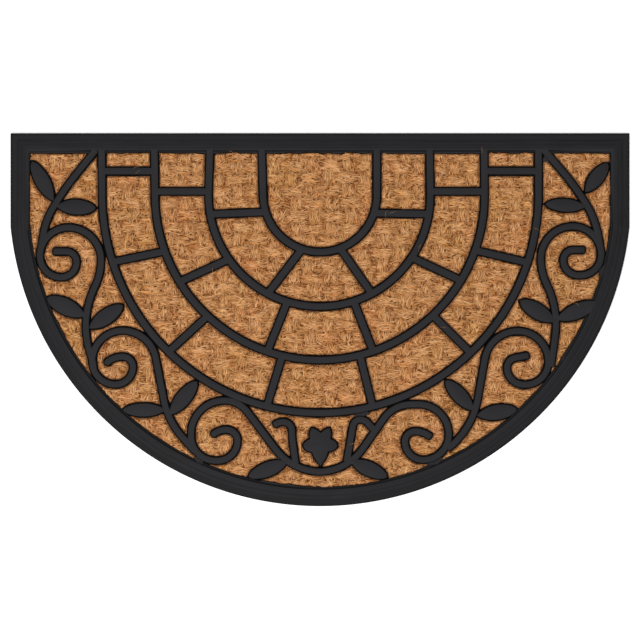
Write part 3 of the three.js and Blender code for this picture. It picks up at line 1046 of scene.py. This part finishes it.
def coir_strands(near, chance):
    """The bundles of fibre on the cloth, along the weave. Each stops short of the rubber."""
    x, y = scattered(near, chance)
    count = x.size

    def drawn(limits):
        return chance.uniform(*limits, count)

    is_long, over, up = weave(x, y)
    swirl = SWIRL * np.sin(x * 260 + 2 * np.sin(y * 190)) * np.sin(y * 310 + x * 90)
    heading = np.where(is_long, 0, math.pi / 2) + swirl + chance.normal(0, TURN_SPREAD, count)
    length = np.where(is_long, drawn(LENGTHS["long"]), drawn(LENGTHS["short"])) * MM
    bend = chance.normal(0, BEND_SPREAD, count)
    seam = smooth((np.maximum(np.abs(over), np.abs(up)) - SEAM_START) / (1 - SEAM_START))
    pit = pits(x, y)
    # Dark bundles gather in the seams and pits as painted shade; a few fall anywhere
    gathered = DARK_PLACES["anywhere"] + DARK_PLACES["seam"] * seam + DARK_PLACES["pit"] * pit
    is_dark = drawn((0, 1)) < DARK_SHARE * gathered
    length = np.where(is_dark, drawn(LENGTHS["dark"]) * MM, length)
    lines = x, y, heading, length, bend
    low, high = clear_ends(near, lines)
    run = (high - low) * length
    tip = np.minimum(TIP_SHARE, TIP_LENGTH / np.maximum(run, SHORTEST))
    rank = np.stack([0 * tip, tip, 0 * tip + 0.5, 1 - tip, 0 * tip + 1], axis=1)
    px, py = bent(*lines, low[:, None] + (high - low)[:, None] * rank)
    free = smooth(near.distance(px, py) / PILE_RISE)
    layer = (drawn(LAYERS) + DARK_LIFT * is_dark) * MM
    drop = ARCH["drop"] * np.abs(2 * rank - 1) ** ARCH["squareness"]
    arch = (ARCH["rise"] - drop) * MM * drawn(ARCH["shares"])[:, None]
    pz = ground(near, px, py) + (layer[:, None] + arch) * free - TUCKED_UNDER * (1 - free)
    thick = drawn(THICKNESSES) * MM
    wide = np.where(is_dark, drawn(WIDTHS["dark"]), drawn(WIDTHS["other"])) * MM
    patch = np.sin(x * 390 + 2 * np.sin(y * 260)) * np.sin(y * 540 + 2 * np.sin(x * 230))
    tone = chance.normal(TONES["mean"], TONES["spread"], count) + TONES["patch"] * patch
    # Bundles in the pits and seams are darkened: painted shade in the hollows
    tone = np.clip(tone - TONES["pit"] * pit - TONES["seam"] * seam, 0, TONES["most"])
    tone[is_dark] = chance.uniform(*DARK_TONES, np.count_nonzero(is_dark))
    # Each bundle also takes the painted shade beside the rubber
    bundles = np.stack([px, py, pz], axis=2), thick, wide, tone, painted_shade(near, px, py)
    order = np.argsort(x, kind="stable")
    order = order[run[order] > SHORTEST]
    made = []
    for number, start in enumerate(range(0, len(order), STRANDS_A_PIECE), 1):
        chosen = order[start:start + STRANDS_A_PIECE]
        rows = [values[chosen] for values in bundles]
        made.append(spindles(f"coir_strands_{number}", *rows))
    return made


def stray_hairs(near, chance):
    """A few loose fibres that lie on the rubber."""
    x, y = np.array(HAIRS).T * MM
    count = x.size
    heading = chance.uniform(0, math.pi, count)
    length = chance.uniform(*HAIR["lengths"], count) * MM
    share = np.linspace(-0.5, 0.5, RINGS + 2)[None]
    px, py = bent(x, y, heading, length, chance.normal(0, HAIR["bend"], count), share)
    under = np.maximum(near.top(px, py), ground(near, px, py)).max(axis=1, keepdims=True)
    line = np.stack([px, py, under + HAIR["above"] * MM + 0 * px], axis=2)
    even = np.ones(count)
    thick, wide = HAIR["thick"] * MM * even, HAIR["wide"] * MM * even
    return spindles("stray_hairs", line, thick, wide, HAIR["tone"] * even, 0 * px)


# Materials

class Socket:
    """A shader socket with arithmetic: an expression on it adds its Math nodes."""

    def __init__(self, finish, link):
        self.finish = finish
        self.link = link

    def __add__(self, other):
        return self.finish.maths("ADD", self, other)

    def __sub__(self, other):
        return self.finish.maths("SUBTRACT", self, other)

    def __rsub__(self, other):
        return self.finish.maths("SUBTRACT", other, self)

    def __mul__(self, other):
        return self.finish.maths("MULTIPLY", self, other)

    __radd__ = __add__
    __rmul__ = __mul__


class Finish:
    """A material and the nodes in it."""

    def __init__(self, name, **constants):
        self.material = bpy.data.materials.new(name)
        self.material.use_nodes = True
        self.tree = self.material.node_tree
        self.shader = self.tree.nodes["Principled BSDF"]
        for socket, value in constants.items():
            self.shader.inputs[socket.replace("_", " ")].default_value = value

    def node(self, kind, settings=None, values=None, output=0):
        node = self.tree.nodes.new(kind)
        for setting, value in (settings or {}).items():
            if setting == "stops":
                ramp = node.color_ramp
                while len(ramp.elements) < len(value):
                    ramp.elements.new(1)
                for element, (place, colour) in zip(ramp.elements, value):
                    element.position = place
                    element.color = (*colour, 1)
            else:
                setattr(node, setting, value)
        for socket, value in (values or {}).items():
            if isinstance(value, Socket):
                self.tree.links.new(value.link, node.inputs[socket])
            elif isinstance(value, tuple):
                node.inputs[socket].default_value = (*value, 1)
            else:
                node.inputs[socket].default_value = value
        return Socket(self, node.outputs[output])

    def maths(self, operation, *values):
        return self.node("ShaderNodeMath", {"operation": operation}, dict(enumerate(values)))

    def place(self):
        return self.node("ShaderNodeTexCoord", output="Object")

    def noise(self, scale, detail=3, at=None):
        """Noise from 0 to 1, its scale in bumps a metre."""
        values = {"Vector": at or self.place(), "Scale": scale, "Detail": detail}
        return self.node("ShaderNodeTexNoise", {}, values)

    def part(self, vector, axis):
        """One of a vector's three numbers."""
        return self.node("ShaderNodeSeparateXYZ", {}, {0: vector}, output=axis)

    def stored(self, name):
        """A number that the mesh stores for each vertex."""
        return self.node("ShaderNodeAttribute", {"attribute_name": name}, output="Fac")

    def between(self, share, low, high):
        """Rises smoothly from 0 to 1 as share goes from low to high."""
        values = {"Value": share, "From Min": low, "From Max": high}
        return self.node("ShaderNodeMapRange", {"interpolation_type": "SMOOTHSTEP"}, values)

    def mix(self, share, first, second, how="MIX"):
        settings = {"data_type": "RGBA", "blend_type": how}
        return self.node("ShaderNodeMix", settings, {0: share, 6: first, 7: second}, output=2)

    def ramp(self, share, stops):
        return self.node("ShaderNodeValToRGB", {"stops": stops}, {"Fac": share})

    def feed(self, socket, value):
        self.tree.links.new(value.link, self.shader.inputs[socket])

    def bump(self, height, depth):
        self.feed("Normal", self.node("ShaderNodeBump", {}, {"Height": height, "Distance": depth}))


def coir_finish(name, shadow, light):
    """Tan coir with redder and yellower patches, and fine fibres in its bump.
    It is darkened beside the rubber as painted shade.
    """
    finish = Finish(name, Roughness=0.85, Specular_IOR_Level=0.18)
    tone = finish.stored("tone")
    lightness = tone * LIGHTNESS["tone"] + finish.noise(900, 2) * LIGHTNESS["fine"]
    # The coir is darkened beside the rubber: painted shade
    lightness = lightness - finish.stored("beside") * LIGHTNESS["beside"]
    colour = finish.ramp(lightness, [(0, DARK_FIBRE_AND_SHADE), (0.28, shadow), (0.85, light)])
    blotches = finish.between(finish.noise(130), *BLOTCHED)
    patches = finish.noise(26)
    bundle = finish.maths("FRACT", tone * BUNDLE_SHUFFLE)
    for share, tint, how in [
        (0.32 * (1 - blotches), DULLER, "MULTIPLY"),
        (finish.between(patches, *PATCHED) * 0.55, REDDER, "MULTIPLY"),
        (finish.between(1 - patches, *PATCHED) * 0.5, YELLOWER, "MULTIPLY"),
        (finish.between(bundle, *ODD_BUNDLE) * tone * 0.2, PALE, "MIX"),
        (finish.between(1 - bundle, *ODD_BUNDLE) * 0.6, RUSTIER, "MULTIPLY"),
    ]:
        colour = finish.mix(share, colour, tint, how)
    finish.feed("Base Color", colour)
    finish.bump(finish.noise(1600), 0.2 * MM)
    return finish.material


def from_edge(finish):
    """How far inside the mat's outline each place is, in metres."""
    x, y = (finish.part(finish.place(), axis) for axis in "XY")
    below = finish.maths("MINIMUM", y - FAN_CENTRE_Y, 0)
    radius = finish.maths("SQRT", x * x + below * below)
    side = HALF_WIDTH - finish.maths("ABSOLUTE", x)
    straight = finish.maths("MINIMUM", side, STRAIGHT_EDGE - y)
    return finish.maths("MINIMUM", ARC_RADIUS - radius, straight)


def rubber_finish():
    """Black moulded rubber with fine reeds round the border. Level, raised tops are greyer with
    dust and painted light, the border's darker; sides and low parts stay near black as painted shade.
    """
    finish = Finish("moulded_rubber", Roughness=0.55, Specular_IOR_Level=0.14)
    upward = finish.node("ShaderNodeNewGeometry", output="Normal")
    # Faces that point up get the dusty grey and sides stay near black: painted light and shade
    tops = finish.between(finish.part(upward, "Z"), *LEVEL_TOP)
    cloud = finish.noise(35, 4)
    specks = finish.noise(1400, 2)
    edge = from_edge(finish)
    on_border = 1 - finish.between(edge, *REEDS_END)
    along = finish.node("ShaderNodeCombineXYZ", {}, {"X": edge * 40, "Y": finish.noise(3, 1)})
    reeds = finish.noise(18, 2, at=along)
    on_tops = DUST_AND_SHADE["even"] + DUST_AND_SHADE["cloud"] * cloud
    on_tops = on_tops + on_border * (DUST_AND_SHADE["reeds"] * reeds - DUST_AND_SHADE["border"])
    dust_and_light = tops * on_tops + DUST_AND_SHADE["specks"] * specks
    # Parts lower than the ribs' tops are darker: painted shade in the recesses
    raised = finish.between(finish.part(finish.place(), "Z"), *RAISED_TOP)
    dust_and_light = dust_and_light * (DUST_AND_SHADE["low"] + (1 - DUST_AND_SHADE["low"]) * raised)
    finish.feed("Base Color", finish.ramp(dust_and_light, [(0, SHADED_RUBBER), (1, DUSTY_LIT_RUBBER)]))
    finish.feed("Roughness", 0.5 + 0.16 * cloud + 0.08 * specks)
    finish.bump(specks * 0.5 + finish.noise(260) + 2 * on_border * reeds, 0.12 * MM)
    return finish.material


def floor_finish():
    finish = Finish("floor", Roughness=0.9)
    finish.shader.inputs["Base Color"].default_value = (FLOOR["grey"],) * 3 + (1,)
    finish.shader.inputs["Emission Color"].default_value = (1, 1, 1, 1)
    finish.shader.inputs["Emission Strength"].default_value = FLOOR["glow"]
    return finish.material


def dress(piece, material):
    piece.data.materials.clear()
    piece.data.materials.append(material)


# The studio

def studio():
    floor = ready(
        "floor", bpy.ops.mesh.primitive_plane_add,
        size=FLOOR["side"], location=(0, 0, -FLOOR["gap"]),
    )
    dress(floor, floor_finish())
    world = bpy.data.worlds.new("studio")
    world.use_nodes = True
    back = world.node_tree.nodes["Background"]
    back.inputs["Color"].default_value = (1, 1, 1, 1)
    back.inputs["Strength"].default_value = SKY_STRENGTH
    bpy.context.scene.world = world
    for row in LAMPS:
        lamp = bpy.data.lights.new(row["name"], "AREA")
        lamp.energy = row["power"]
        lamp.size = row["size"]
        light = bpy.data.objects.new(row["name"], lamp)
        light.location = row["place"]
        light.rotation_euler = (-Vector(row["place"])).to_track_quat("-Z", "Y").to_euler()
        bpy.context.collection.objects.link(light)
    bpy.context.scene.view_settings.view_transform = "Standard"


camera()
studio()

rubber = moulding()
soften(rubber, RUBBER_SHARP)
dress(rubber, rubber_finish())
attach(rubber, "root")
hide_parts("rubber_moulding")

near_rubber = RubberMap(rubber)
cloth = coir_cloth(near_rubber)
dress(cloth, coir_finish("coir_ground", *CLOTH_COLOURS))
chance = np.random.default_rng(SEED)
strands = coir_strands(near_rubber, chance) + [stray_hairs(near_rubber, chance)]
strand_finish = coir_finish("coir_fibre", *FIBRE_COLOURS)
for piece in strands:
    dress(piece, strand_finish)
for piece in [cloth, *strands]:
    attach(piece, "root")
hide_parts("coir_mat")
outline = whole_face(COIR_INSET, 0)
bpy.data.objects.remove(outline)
